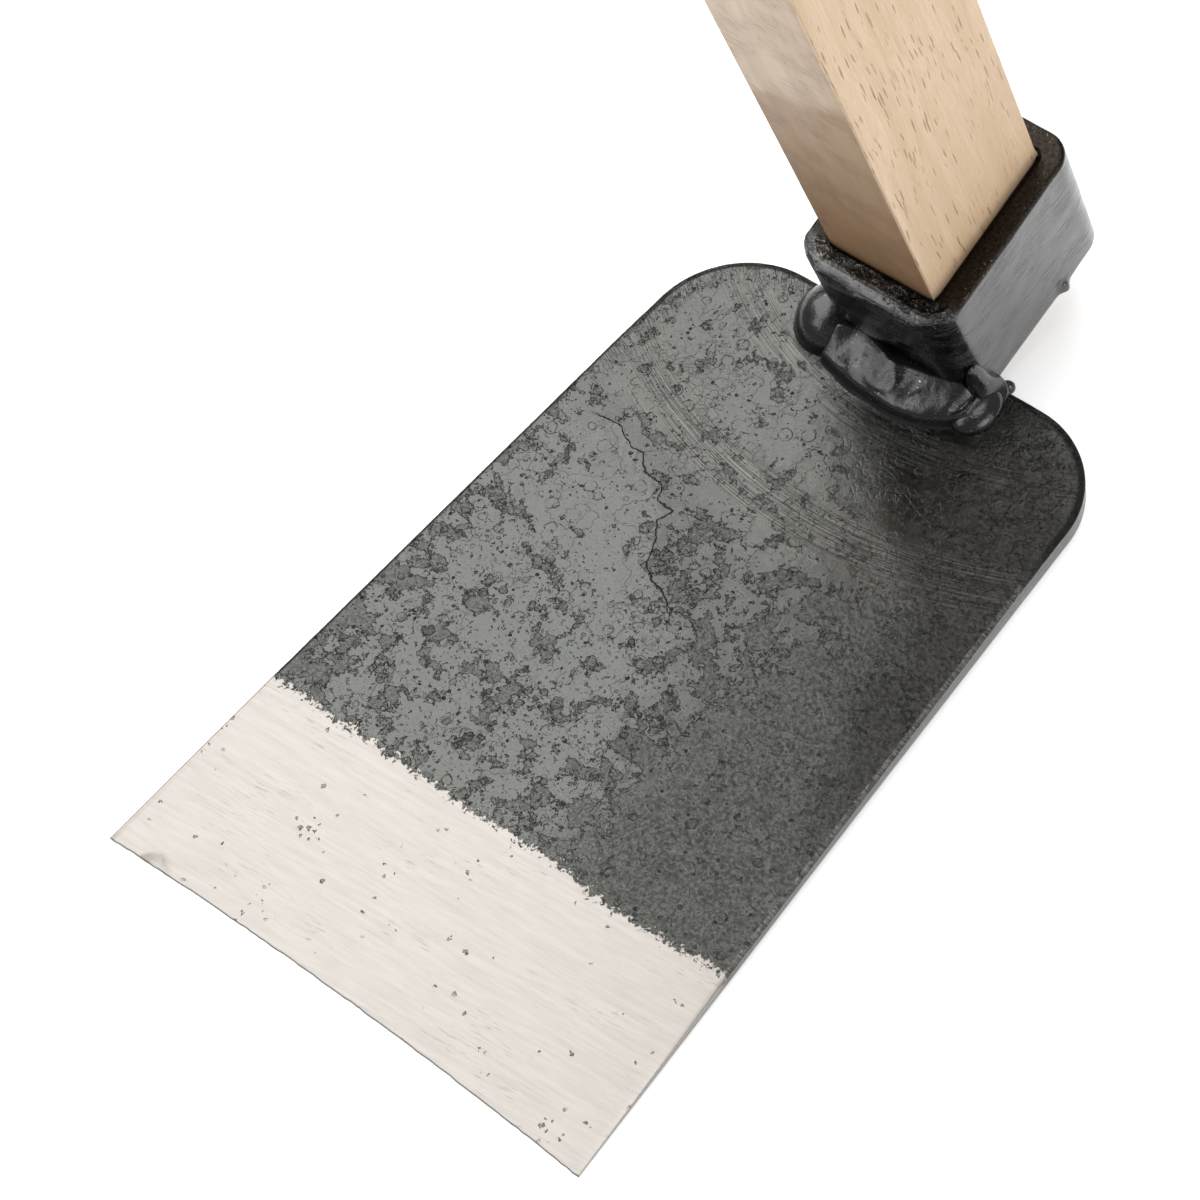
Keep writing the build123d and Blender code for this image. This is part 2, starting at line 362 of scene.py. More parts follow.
def ground_bevel(m, place, x, u, fine):
    """Colour, relief and roughness of the bevel: streaks of the belt, pits left behind, and a soft chip with
    painted shade on its lower left side.
    """
    streaks_fine = m.noise(m.stretch(place, (0.045, 1.0, 1.0), -5.5), 0.30, 3.0, 0.6)
    streaks_long = m.noise(m.stretch(place, (0.07, 1.0, 1.0), -4.5), 1.0, 5.0, 0.70)
    dashes = m.times(
        m.ramp(m.noise(m.stretch(place, (0.055, 1.0, 1.0), -5.5), 0.34, 2.0, 0.6), 0.60, 0.70),
        m.ramp(m.noise(m.stretch(place, (0.4, 1.0, 1.0), -5.5), 11.0, 2.0), 0.50, 0.64),
    )
    nick_place = m.swirl(place, 0.8, 0.9, 3.0)
    nick_swarm = m.ramp(m.noise(place, 13.0, 2.0), 0.57, 0.66)
    nicks = m.most(
        m.times(m.pits(nick_place, 2.0, 0.40, 0.10, 0.36, 0.07), nick_swarm),
        m.pits(nick_place, 3.4, 0.10, 0.07, 0.24, 0.05),
    )
    chip_x, chip_u = m.sum(x, -SHADED_CHIP[0]), m.sum(u, -SHADED_CHIP[1])
    chip_distance = m.sum(m.length(chip_x, chip_u), m.line(fine, 0.2, 0.8, -0.4, 0.4))
    chip_shade_side = m.times(
        m.ramp(m.sum(chip_u, m.times(chip_x, 0.55)), 3.4, -0.4), m.line(fine, 0.3, 0.7, 0.6, 1.0)
    )
    relief = m.sum(
        m.times(streaks_fine, 0.008),
        m.times(streaks_long, 0.006),
        m.times(nicks, -0.20),
        m.times(m.ramp(chip_distance, 5.9, 1.5), -0.30),
        -0.10,
    )
    colour = m.tint(m.line(streaks_long, 0.30, 0.62), (0.276, 0.258, 0.238), (0.306, 0.289, 0.268))
    colour = m.tint(m.times(m.ramp(streaks_fine, 0.62, 0.76), 0.30), colour, (0.12, 0.113, 0.106))
    colour = m.tint(m.times(dashes, 0.55), colour, (0.10, 0.094, 0.086))
    # Painted shade: brownish darkening on the lower left side inside the chip
    colour = m.tint(m.times(m.ramp(chip_distance, 5.6, 4.8), chip_shade_side, 0.6), colour, (0.150, 0.124, 0.098))
    colour = m.tint(m.times(nicks, m.line(fine, 0.35, 0.6, 0.95, 0.45)), colour, (0.05, 0.045, 0.038))
    return colour, relief, m.line(streaks_long, 0.3, 0.7, 0.41, 0.38)


def forged_steel():
    """Blade: hammered scale with flakes, pits and grinding marks, and a bright ground bevel."""
    m = Finish("forged_steel")
    place, marks = m.marks("place"), m.marks("marks")
    x, u, _ = m.parts(place)
    rim, plate, _ = m.parts(marks)
    drift = m.noise(place, 34.0, 1.0)
    ragged = m.noise(place, 5.0, 8.0, 0.72)
    fine = m.noise(place, 1.25, 6.0, 0.72)
    speckle = m.noise(place, 0.62, 4.0, 0.68)

    # The bevel's boundary crumbles into specks
    wandering_edge = m.sum(
        m.line(ragged, 0.0, 1.0, -4.0, 4.0),
        m.line(drift, 0.0, 1.0, -3.0, 3.0),
        m.line(fine, 0.25, 0.75, -2.6, 2.6),
        u,
    )
    bevel_end = BEVEL_LENGTH - BLADE_LENGTH
    bright = m.ramp(wandering_edge, bevel_end + 0.35, bevel_end - 0.35)
    scaled = m.rest(bright)

    # Zones of the scale: 1 inside and 0 outside
    upper = m.ramp(m.sum(u, m.line(drift, 0.0, 1.0, -14.0, 14.0)), -74.0, -54.0)
    right = m.ramp(m.sum(x, m.times(u, -0.24)), 38.0, 66.0)
    left_strip = m.times(
        m.ramp(m.sum(rim, m.line(ragged, 0.0, 1.0, -14.0, 14.0)), 16.0, 2.0),
        m.ramp(x, -20.0, -40.0),
        m.ramp(u, -44.0, -58.0),
    )

    # The main flake of smooth scale, with a painted shadow line along its edge and painted shade just outside it
    plate_edge = m.sum(plate, m.line(m.noise(place, 2.4, 4.0, 0.6), 0.0, 1.0, -0.9, 0.9))
    plate_there = m.times(m.ramp(u, -98.0, -88.0), m.ramp(x, -58.0, -52.0))
    plate_step = m.times(m.ramp(plate_edge, -0.30, 0.16), plate_there)
    plate_edge_shadow = m.times(m.close_to(plate_edge, -0.12, 0.34, 0.05), plate_there)
    plate_painted_shade = m.times(m.ramp(plate_edge, -13.0, -0.5), m.ramp(plate_edge, 0.1, -0.2), plate_there)
    plate_side = m.ramp(m.sum(plate, m.line(ragged, 0.0, 1.0, -22.0, 22.0)), -7.0, 7.0)

    # Eaten areas with rough floors and sharp, branching edges, drawn with a thin line of painted shade
    eaten_field = m.sum(
        m.noise(m.swirl(place, 3.0, 1.0, 3.0), 8.0, 7.0, 0.66),
        m.times(right, 0.12),
        m.times(left_strip, 0.085),
        m.times(upper, -0.075),
        m.times(plate_side, -0.075),
        m.ramp(u, -100.0, -140.0, 0.0, 0.045),
    )
    eaten = m.ramp(eaten_field, 0.505, 0.535)
    broken = m.ramp(m.noise(place, 6.0, 2.0), 0.42, 0.58)
    eaten_edge_shade = m.times(m.close_to(eaten_field, 0.512, 0.009, 0.001), broken)
    level_field = m.noise(m.swirl(place, 6.0, 1.8, 3.0), 21.0, 6.0, 0.58)
    level_step = m.ramp(level_field, 0.50, 0.512)
    level_edge_shade = m.times(m.close_to(level_field, 0.506, 0.006, 0.001), broken)

    # Round pits, alone and in clusters, more of them low on the blade
    low = m.ramp(m.sum(u, m.times(x, 0.10)), -86.0, -112.0)
    cluster = m.ramp(m.noise(place, 16.0, 3.0, 0.6), 0.44, 0.56)
    big_pits = m.times(m.pits(m.swirl(place, 1.8, 1.0, 3.0), 4.0, 0.55, 0.12, 0.42, 0.07), low, cluster)
    small_pits = m.times(
        m.pits(m.swirl(place, 1.2, 0.4, 3.0), 1.9, 0.40, 0.10, 0.36, 0.08),
        m.sum(m.times(low, 0.6), left_strip, m.ramp(ragged, 0.50, 0.60)),
    )
    crumb_zone = m.sum(
        ragged, m.times(m.sum(low, left_strip, right), 0.09), m.times(plate_side, -0.04), m.times(upper, -0.03)
    )
    crumbs = m.times(m.ramp(fine, 0.585, 0.635), m.ramp(crumb_zone, 0.50, 0.58))
    ring_distance, ring_chance = m.cells(m.swirl(place, 3.0, 0.9, 3.0), 5.2)
    ring_gap = m.maths("SUBTRACT", ring_distance, m.line(ring_chance, 0.35, 1.0, 0.12, 0.38))
    rings = m.times(
        m.close_to(ring_gap, 0.0, 0.040, 0.006),
        m.maths("GREATER_THAN", ring_chance, 0.35),
        m.ramp(ragged, 0.42, 0.54),
    )

    # Leathery cracks near the neck, and grinding marks round it
    crack_distance, _ = m.cells(m.swirl(place, 1.8, 0.7, 3.0), 2.6, "DISTANCE_TO_EDGE")
    cracks = m.times(m.ramp(crack_distance, 0.09, 0.01), upper, m.ramp(m.noise(place, 13.0, 3.0), 0.48, 0.58))
    arc_light, arc_dark = grinding_arcs(m, x, u)

    # Short ridges across the shoulder's edge, and file marks across the broken edge below it
    shoulder_bearing = m.times(m.maths("ARCTAN2", m.sum(u, 60.0), x), 66.0)
    fringe = m.times(
        m.ramp(m.noise(m.join(shoulder_bearing, m.times(rim, 0.16)), 0.9, 3.0), 0.45, 0.60),
        m.ramp(rim, 11.0, 3.0),
        m.ramp(u, -60.0, -35.0),
        m.ramp(x, 0.0, -30.0),
    )
    filed = m.times(m.ramp(rim, 2.0, 1.4), m.ramp(u, -26.0, -40.0), m.ramp(x, 10.0, 30.0), scaled)
    file_marks = m.times(m.noise(m.join(m.times(rim, 0.2), u), 0.5, 2.0), filed)

    pebbles, _ = m.cells(m.swirl(place, 1.4, 0.5, 3.0), 1.25, "SMOOTH_F1")
    blisters, _ = m.cells(m.swirl(place, 2.2, 0.8, 3.0), 3.1, "SMOOTH_F1")
    rough_floor = m.most(m.times(eaten, 0.75), right, m.times(m.most(big_pits, small_pits), 0.9))
    relief = m.sum(
        m.times(eaten, -0.09),
        m.times(pebbles, m.line(rough_floor, 0.0, 1.0, -0.02, -0.20)),
        m.times(blisters, m.line(right, 0.0, 1.0, -0.04, -0.20)),
        m.times(m.sum(fine, -0.5), m.line(rough_floor, 0.0, 1.0, 0.07, 0.26)),
        m.times(speckle, m.line(rough_floor, 0.0, 1.0, 0.03, 0.06)),
        m.times(plate_step, 0.20),
        m.times(level_step, 0.07),
        m.times(big_pits, -0.26),
        m.times(small_pits, -0.16),
        m.times(crumbs, -0.16),
        m.times(rings, -0.07),
        m.times(cracks, -0.05),
        m.times(arc_light, 0.02),
        m.times(arc_dark, -0.03),
        m.times(fringe, 0.12),
        m.times(file_marks, 0.12),
    )

    # Colours of the scale, by zone
    not_eaten = m.rest(m.times(eaten, 0.3))
    scale = m.tint(m.line(ragged, 0.35, 0.65), (0.060, 0.0605, 0.0565), (0.076, 0.0765, 0.0715))
    scale = m.tint(m.times(plate_side, not_eaten, 0.85), scale, (0.088, 0.0905, 0.085))
    scale = m.tint(m.times(upper, not_eaten, 0.7), scale, (0.084, 0.0845, 0.079))
    # Painted shade just outside the flake's step
    scale = m.tint(m.times(plate_painted_shade, 0.45), scale, (0.058, 0.058, 0.054))

    # Speckle, pits and dark lines, with painted highlight and painted shade specks that stand in for the shading
    # of the rough relief
    scale = m.tint(m.times(m.rest(m.ramp(speckle, 0.38, 0.50)), 0.35), scale, (0.050, 0.0495, 0.046))
    # Painted highlight and shade: dark and pale specks on the rough zones draw the relief's shading into the
    # colour
    painted_relief_shading = m.most(rough_floor, m.times(m.ramp(ragged, 0.44, 0.60), 0.45))
    scale = m.tint(m.times(painted_relief_shading, m.ramp(fine, 0.50, 0.43), 0.55), scale, (0.028, 0.0275, 0.025))
    scale = m.tint(m.times(painted_relief_shading, m.ramp(fine, 0.51, 0.57), 0.60), scale, (0.135, 0.134, 0.126))
    # Painted shade in the pits and crumbs
    pit_shade = m.most(m.times(big_pits, 0.35), small_pits, m.times(crumbs, 0.6))
    scale = m.tint(m.times(pit_shade, 0.42), scale, (0.030, 0.029, 0.027))
    # Dark lines: real cracks, and painted shade along the edges of the flake, the eaten areas, the levels and the
    # rings
    cracks_and_edge_shade = m.most(
        plate_edge_shadow, m.times(cracks, 0.12), m.times(eaten_edge_shade, 0.55), m.times(m.most(rings, level_edge_shade), 0.30)
    )
    scale = m.tint(m.times(cracks_and_edge_shade, 0.80), scale, (0.014, 0.014, 0.013))

    # Painted reflection of the dark eye and handle: darker scale right of the neck and down the right side
    handle_reflection_border = m.maths("MINIMUM", m.sum(m.times(u, -1.0), -15.0), m.sum(m.times(u, -0.21), 33.2))
    handle_reflection = m.ramp(m.sum(x, m.times(handle_reflection_border, -1.0), m.line(drift, 0.0, 1.0, -14.0, 14.0)), -5.0, 9.0)
    handle_reflection = m.times(handle_reflection, m.ramp(u, -150.0, -95.0))
    # Painted reflection: the eye and handle mirrored in the blade's face, drawn into the colour
    scale = m.tint(m.times(handle_reflection, m.line(fine, 0.40, 0.60, 0.80, 0.50)), scale, (0.024, 0.0235, 0.0215))
    scale = m.tint(m.times(arc_light, 0.55), scale, (0.125, 0.121, 0.112))
    scale = m.tint(m.times(arc_dark, 0.50), scale, (0.045, 0.045, 0.042))

    # Rim: a dark line, the filed stretch, and the cut side of the plate
    shoulder_rim = m.times(m.ramp(rim, 2.3, 1.4), m.ramp(u, -40.0, -20.0))
    left_rim = m.times(m.ramp(rim, 1.1, 0.6), m.ramp(x, -10.0, -40.0))
    scale = m.tint(m.most(shoulder_rim, left_rim), scale, (0.022, 0.022, 0.021))
    scale = m.tint(m.times(filed, m.line(file_marks, 0.35, 0.6), 0.7), scale, (0.17, 0.163, 0.152))
    side_face = m.ramp(rim, 0.20, 0.02)
    scale = m.tint(m.times(side_face, m.line(ragged, 0.3, 0.7, 0.6, 1.0)), scale, (0.32, 0.33, 0.32))
    rust = m.times(m.ramp(fine, 0.66, 0.72), m.ramp(m.noise(place, 15.0, 1.0), 0.56, 0.66), 0.6)
    scale = m.tint(rust, scale, (0.16, 0.075, 0.04))

    steel, steel_relief, steel_roughness = ground_bevel(m, place, x, u, fine)
    roughness = m.sum(
        m.times(m.line(m.noise(place, 8.0, 4.0), 0.3, 0.7, 0.22, 0.30), scaled),
        m.times(m.most(m.times(eaten, 0.5), big_pits), 0.08, scaled),
        m.times(bright, steel_roughness),
    )
    height = m.sum(m.times(relief, scaled), m.times(steel_relief, bright))
    return m.finish(m.tint(bright, scale, steel), roughness, 1.0, height)


def black_eye():
    """Ring: black with a dull sheen, scratched along the walls and worn pale at its edges."""
    m = Finish("black_eye", IOR=1.85)
    place, marks = m.marks("place"), m.marks("marks")
    around, wear, rim_top = m.parts(marks)
    x, y, z = m.parts(place)
    grain = m.noise(place, 0.5, 5.0, 0.65)
    clouds = m.noise(place, 9.0, 3.0, 0.55)
    crumble = m.noise(place, 0.9, 4.0, 0.72)
    on_wall = m.ramp(rim_top, 0.3, 0.0)

    # Marks of the walls
    along_wall = m.join(around, z)
    long_scratches = m.noise(m.stretch(along_wall, (0.05, 1.0, 1.0), 8.0), 0.42, 2.0, 0.6)
    scratch_zone = m.ramp(m.noise(m.stretch(along_wall, (0.3, 1.0, 1.0)), 6.0, 2.0), 0.42, 0.58)
    scratches = m.times(m.ramp(long_scratches, 0.54, 0.62), scratch_zone, on_wall)
    pinholes = m.pits(m.swirl(place, 1.0, 0.3), 2.0, 0.25, 0.08, 0.24, 0.08)
    pinholes = m.times(pinholes, m.ramp(clouds, 0.40, 0.55))
    worn = m.times(wear, m.ramp(m.noise(place, 1.1, 5.0, 0.75), 0.58, 0.64), m.ramp(clouds, 0.44, 0.56))
    # The front wall, turned to the weld: painted shade makes it blacker, and it is glossier
    hollow = m.times(m.ramp(y, -25.0, -28.0), on_wall)

    # The rim's front, melted into folds and crackled at the right; the fold crests carry a pale painted highlight
    melted = m.times(m.ramp(y, -19.0, -24.0), m.ramp(z, -9.0, -3.0), rim_top)
    crackle, _ = m.cells(m.swirl(place, 1.2, 0.4), 1.5, "DISTANCE_TO_EDGE")
    crackle = m.times(m.ramp(crackle, 0.16, 0.0), m.ramp(x, 4.0, 11.0), melted)
    folds = m.times(m.noise(m.swirl(place, 4.0, 1.5), 2.2, 3.0, 0.6, 0.8), melted)
    ridges = m.times(melted, m.close_to(folds, 0.5, 0.035, 0.008), m.ramp(grain, 0.42, 0.56))
    height = m.sum(
        m.times(grain, m.line(rim_top, 0.0, 1.0, 0.010, 0.10)),
        m.times(scratches, -0.11),
        m.times(pinholes, -0.12),
        m.times(worn, -0.06),
        m.times(crackle, -0.22),
        m.times(folds, 0.55),
        m.times(m.noise(place, 7.0, 2.0), 0.10),
    )
    base = m.tint(clouds, (0.004, 0.004, 0.004), (0.008, 0.008, 0.0078))
    # Painted shade: the front wall is made blacker
    base = m.tint(hollow, base, (0.0012, 0.0012, 0.0012))
    glazed = m.times(m.ramp(y, -20.0, -25.0), m.ramp(wear, 0.08, 0.35))
    rim_dull = m.times(m.ramp(rim_top, 0.30, 0.85), m.line(glazed, 0.0, 1.0, 1.0, 0.25))
    burnt = m.tint(m.line(crumble, 0.38, 0.66), (0.012, 0.0105, 0.009), (0.036, 0.029, 0.022))
    base = m.tint(rim_dull, base, burnt)
    # Painted highlight: pale metal on the fold crests
    base = m.tint(m.times(ridges, 0.7), base, (0.24, 0.235, 0.225))
    base = m.tint(m.times(crackle, 0.9), base, (0.004, 0.004, 0.004))
    base = m.tint(m.times(worn, 0.85), base, (0.28, 0.26, 0.235))
    rust_zone = m.ramp(m.noise(place, 7.0, 1.0), 0.54, 0.62)
    rust = m.times(m.ramp(m.noise(place, 1.4, 4.0, 0.7), 0.63, 0.70), rust_zone, rim_top)
    base = m.tint(rust, base, (0.15, 0.06, 0.03))
    roughness = m.sum(
        m.line(clouds, 0.3, 0.7, 0.18, 0.26),
        m.times(hollow, -0.10),
        m.times(rim_top, 0.14),
        m.times(scratches, 0.10),
        m.times(worn, 0.15),
    )
    metal = m.most(m.times(worn, 0.7), rim_dull, m.times(ridges, 0.7))
    return m.finish(base, roughness, metal, height)


def black_weld():
    """Weld metal: glossy and dark, brushed here and there by the grinder."""
    m = Finish("black_weld", IOR=1.6)
    place, marks = m.marks("place"), m.marks("marks")
    ground, crevice_shade, _ = m.parts(marks)
    grain = m.noise(place, 0.7, 4.0, 0.65)
    brush = m.noise(m.stretch(place, (0.05, 1.0, 0.5), -16.0), 0.26, 3.0, 0.65)
    patches = m.ramp(m.noise(m.stretch(place, (0.6, 1.0, 1.0), -16.0), 5.0, 4.0, 0.6), 0.47, 0.58)
    brushed = m.times(
        m.sum(0.12, m.times(patches, 0.88)), m.ramp(brush, 0.50, 0.60), m.sum(0.20, m.times(ground, 0.80))
    )
    pinholes = m.pits(m.swirl(place, 1.0, 0.3), 2.4, 0.20, 0.08, 0.24, 0.08)
    glint_zone = m.ramp(m.noise(place, 7.0, 1.0), 0.50, 0.60)
    glints = m.times(m.ramp(m.noise(place, 0.8, 3.0, 0.7), 0.64, 0.70), glint_zone)
    folds = m.noise(m.swirl(place, 5.0, 2.0), 3.4, 3.0, 0.6, 0.6)
    height = m.sum(
        m.times(grain, 0.03),
        m.times(folds, m.line(ground, 0.0, 1.0, 0.16, 0.05)),
        m.times(brush, m.line(ground, 0.0, 1.0, 0.02, 0.06)),
        m.times(pinholes, -0.16),
    )
    base = m.tint(m.noise(place, 5.0, 3.0), (0.004, 0.004, 0.004), (0.010, 0.010, 0.0098))
    base = m.tint(m.times(brushed, 0.62), base, (0.15, 0.15, 0.145))
    base = m.tint(m.times(glints, 0.9), base, (0.50, 0.48, 0.45))
    # Painted shade: the crevice where the weld meets the blade is tinted black
    base = m.tint(m.times(crevice_shade, 0.9), base, (0.004, 0.004, 0.004))
    rust_zone = m.ramp(m.noise(place, 8.0, 1.0), 0.54, 0.62)
    rust = m.times(m.ramp(m.noise(place, 1.3, 3.0, 0.7), 0.66, 0.72), rust_zone, 0.7)
    base = m.tint(rust, base, (0.18, 0.07, 0.035))
    roughness = m.sum(m.line(grain, 0.3, 0.7, 0.12, 0.22), m.times(brushed, 0.10), m.times(crevice_shade, 0.4))
    return m.finish(base, roughness, m.most(m.times(brushed, 0.7), glints), height)


def beech():
    """Planed beech with short dark flecks along the grain; its front is sawn rough, and darker near the eye."""
    m = Finish("beech", IOR=1.42)
    place, marks = m.marks("place"), m.marks("marks")
    x, y, z = m.parts(place)
    around, front, _ = m.parts(marks)
    bend = m.times(m.noise(m.stretch(place, (1.0, 1.0, 0.35)), 18.0, 2.0), 5.0)
    grain_x, grain_y = m.sum(x, bend), m.sum(y, bend)
    along_grain = m.join(grain_x, grain_y, m.times(z, 0.03))
    figure = m.noise(along_grain, 5.0, 3.0, 0.6, 0.4)
    fibre = m.noise(along_grain, 0.32, 3.0, 0.7)

    # Flecks, in seven cells of ten
    distance, chance = m.cells(m.join(grain_x, grain_y, m.times(z, 0.075)), 0.80)
    reach = m.line(chance, 0.30, 1.0, 0.12, 0.40)
    flecks = m.times(
        m.ramp(m.maths("SUBTRACT", reach, distance), 0.0, 0.07),
        m.maths("GREATER_THAN", chance, 0.30),
        m.line(m.noise(place, 11.0, 2.0), 0.32, 0.55, 0.25, 1.0),
    )

    # Saw marks across the front
    cross = m.noise(m.join(m.times(around, 0.16), m.sum(z, m.times(around, 0.35))), 0.8, 4.0, 0.65)
    cross_patch = m.times(front, m.ramp(m.noise(place, 10.0, 3.0), 0.42, 0.60))

    pale = m.tint(m.line(figure, 0.3, 0.7), (0.56, 0.395, 0.248), (0.70, 0.542, 0.382))
    wood = m.tint(m.times(m.line(fibre, 0.35, 0.75), 0.42), pale, (0.40, 0.255, 0.145))
    wood = m.tint(m.ramp(z, 70.0, 0.0, 0.0, 0.40), wood, (0.44, 0.290, 0.165))
    wood = m.tint(m.times(flecks, m.line(front, 0.0, 1.0, 0.72, 0.30)), wood, (0.24, 0.135, 0.066))
    greyer = m.tint(m.line(figure, 0.3, 0.7), (0.58, 0.46, 0.345), (0.71, 0.59, 0.47))
    wood = m.tint(m.times(front, 0.75), wood, greyer)
    # The front is darker towards the eye, below a wavy edge
    darker_front_edge = m.sum(z, m.times(m.noise(place, 12.0, 4.0), 26.0), m.times(x, -0.6))
    darker_front = m.times(front, m.ramp(darker_front_edge, 108.0, 98.0))
    wood = m.tint(m.times(darker_front, m.ramp(z, 90.0, 5.0, 0.55, 0.95)), wood, (0.30, 0.172, 0.086))
    wood = m.tint(m.times(cross_patch, m.line(cross, 0.40, 0.62), 0.40), wood, (0.14, 0.085, 0.050))
    # Painted shade where the handle enters the eye: darker towards and inside the ring
    wood = m.tint(m.ramp(z, 5.0, -0.5, 0.0, 0.45), wood, (0.13, 0.075, 0.040))
    height = m.sum(
        m.times(fibre, 0.06),
        m.times(flecks, -0.05),
        m.times(cross, m.line(front, 0.0, 1.0, 0.01, 0.07)),
        m.times(m.noise(place, 0.5, 2.0), 0.02),
    )
    return m.finish(wood, m.line(fibre, 0.3, 0.7, 0.50, 0.62), 0.0, height)


def wedge_wood():
    """Wedge: darker, driven end grain."""
    m = Finish("wedge_wood", IOR=1.45)
    place = m.marks("place")
    pores = m.pits(place, 0.55, 0.6, 0.1, 0.3, 0.1)
    growth = m.noise(m.stretch(place, (0.15, 1.0, 1.0)), 1.4, 3.0, 0.6)
    wood = m.tint(growth, (0.33, 0.20, 0.11), (0.50, 0.33, 0.20))
    wood = m.tint(m.times(pores, 0.6), wood, (0.14, 0.08, 0.045))
    return m.finish(wood, 0.7, 0.0, m.sum(m.times(pores, -0.08), m.times(growth, 0.06)))


STEEL, EYE_BLACK, WELD_BLACK, BEECH, WEDGE_WOOD = forged_steel(), black_eye(), black_weld(), beech(), wedge_wood()

# ------------------------------------------------------------------ blade
EDGE_SPACING, EDGE_STRIPS, FACE_SPACING, FACE_STRIPS = 0.35, 8, 0.81, 176  # the mesh is closer near the sides
LEAST_THICKNESS = 0.25
NOTCH_COVER = 2.6  # how far the wall of the eye covers the notch's edge
CHIP = (-61.0, -218.5)  # low place in the cutting edge
blade_tree = BVHTree.FromObject(frame["nodes"]["blade"], bpy.context.evaluated_depsgraph_get())


def blade_half_width(u):
    return SHOULDER_HALF + (EDGE_HALF - SHOULDER_HALF) * (OVERHANG - u) / (OVERHANG + BLADE_LENGTH)


def section(u, side):
    """Levels of the CAD blade's inner face (side 1) or back (side -1) at those heights, in millimetres."""
    levels = []
    for value in u:
        inside = np.clip(value, -BLADE_LENGTH + 2.2, OVERHANG - 1.4)
        start = on_face(31.0, inside, 20.0 * side)
        hit = blade_tree.ray_cast(Vector(start), Vector(-side * off_face))[0]
        levels.append((np.array(hit) - seat) @ off_face / MM)
    return np.array(levels)[:, None]


def distance_inside(x, u, corners):
    """Distance from the outline of the polygon in millimetres, above 0 inside it."""
    best, inside = np.full(x.shape, np.inf), np.zeros(x.shape, bool)
    for (ax, au), (bx, bu) in zip(corners, corners[1:] + corners[:1]):
        ex, eu = bx - ax, bu - au
        t = np.clip(((x - ax) * ex + (u - au) * eu) / (ex * ex + eu * eu), 0, 1)
        best = np.minimum(best, np.hypot(x - ax - t * ex, u - au - t * eu))
        if eu:
            inside ^= ((au > u) != (bu > u)) & (x < ax + (u - au) / eu * ex)
    return np.where(inside, best, -best)


# Grid of the blade: across as shares of its half width, and rows from the cutting edge to the shoulders' top
strips = np.concatenate([[0], np.full(EDGE_STRIPS, EDGE_SPACING), np.full(FACE_STRIPS, FACE_SPACING)])
across = 1.0 - np.cumsum(strips) / EDGE_HALF
across = across[across > 0.004]
across = np.concatenate([-across, [0.0], across[::-1]])
edge_rows = -BLADE_LENGTH + np.arange(0, 4) * 0.5
lower_u = np.concatenate([edge_rows, np.linspace(-BLADE_LENGTH + 2.2, SHOULDER_HEIGHT, 240)])
turns = np.linspace(0, math.pi / 2, 44)[1:]
rows_u = np.concatenate([lower_u, SHOULDER_HEIGHT + SHOULDER_RADIUS * np.sin(turns)])
shoulder_middle = blade_half_width(SHOULDER_HEIGHT) - SHOULDER_RADIUS
rows_half = np.concatenate([blade_half_width(lower_u), shoulder_middle + SHOULDER_RADIUS * np.cos(turns)])
blade_x = rows_half[:, None] * across[None, :]

# The cutting edge is hollow and nicked, less and less towards the shoulders
hollow = EDGE_HOLLOW * (1 - across**2)
nick_points = plane_points(across * EDGE_HALF, 0.0)
nicks = np.abs(lumps(nick_points, 3.1, 5)) * 0.22 + 0.9 * ease(lumps(nick_points, 6.0, 11), 0.72, 0.9)
edge_share = (SHOULDER_HEIGHT - rows_u).clip(0) / (SHOULDER_HEIGHT + BLADE_LENGTH)
blade_u = rows_u[:, None] + (hollow + nicks)[None, :] * edge_share[:, None]

side_gap = (blade_half_width(blade_u) - np.abs(blade_x)).clip(0)
top_gap = (OVERHANG - blade_u).clip(0)
corner = (blade_u > SHOULDER_HEIGHT) & (np.abs(blade_x) > shoulder_middle)
corner_gap = SHOULDER_RADIUS - np.hypot(np.abs(blade_x) - shoulder_middle, blade_u - SHOULDER_HEIGHT)
rim_gap = np.where(corner, corner_gap.clip(0), np.minimum(side_gap, top_gap))

# Edge of the main flake of scale, in millimetres on the face: smooth plate to its left
FLAKE_EDGE = [
    (-90, -52), (-54, -57), (-47, -57), (-40, -60), (-36, -59), (-33, -63), (-28, -63),
    (-24, -67), (-19, -68), (-20, -73), (-17, -78), (-15, -84), (-11, -88), (-7, -89),
    (2, -98), (9, -110), (8, -126), (26, -140), (34, -160), (44, -185), (-90, -210),
]  # fmt: skip
flat = plane_points(blade_x, blade_u)
bays_x = 1.5 * lumps(flat, 7.5, 15) + 0.6 * lumps(flat, 2.8, 16)
bays_u = 1.5 * lumps(flat, 7.5, 17) + 0.6 * lumps(flat, 2.8, 18)
plate_gap = distance_inside(blade_x + bays_x, blade_u + bays_u, FLAKE_EDGE)

# Relief of the inner face: hammered waves, the flake's step, the chip, and a filed rim
middle_u = blade_u[:, len(across) // 2]
on_scale = ease(blade_u, -168.0, -160.0)
waves = 0.11 * lumps(flat, 31.0, 21) + 0.06 * lumps(flat, 13.0, 22) + 0.05 * rough(flat, 4.0, 23)
relief = waves * (0.25 + 0.75 * on_scale)
relief += 0.05 * (ease(plate_gap, -0.4, 0.4) - 1) * on_scale
relief -= 0.25 * ease(2.4 - np.hypot(blade_x - CHIP[0], (blade_u - CHIP[1]) * 1.4), 0, 1.2)
relief -= 0.20
rim_width = 0.9 + 0.5 * ease(blade_x, -10, 10) + 1.4 * ease(blade_u, -36.0, -12.0)
rim_share = np.clip(rim_gap / rim_width, 0, 1)
rim_fall = 0.42 * rim_width * (1 - rim_share) ** 1.6 * ease(blade_u, -216.0, -150.0)
file_marks = 0.10 * lumps(plane_points(blade_u, blade_x * 0.2), 1.1, 31)
file_marks *= (rim_gap < rim_width) * ease(blade_u, -190.0, -150.0)
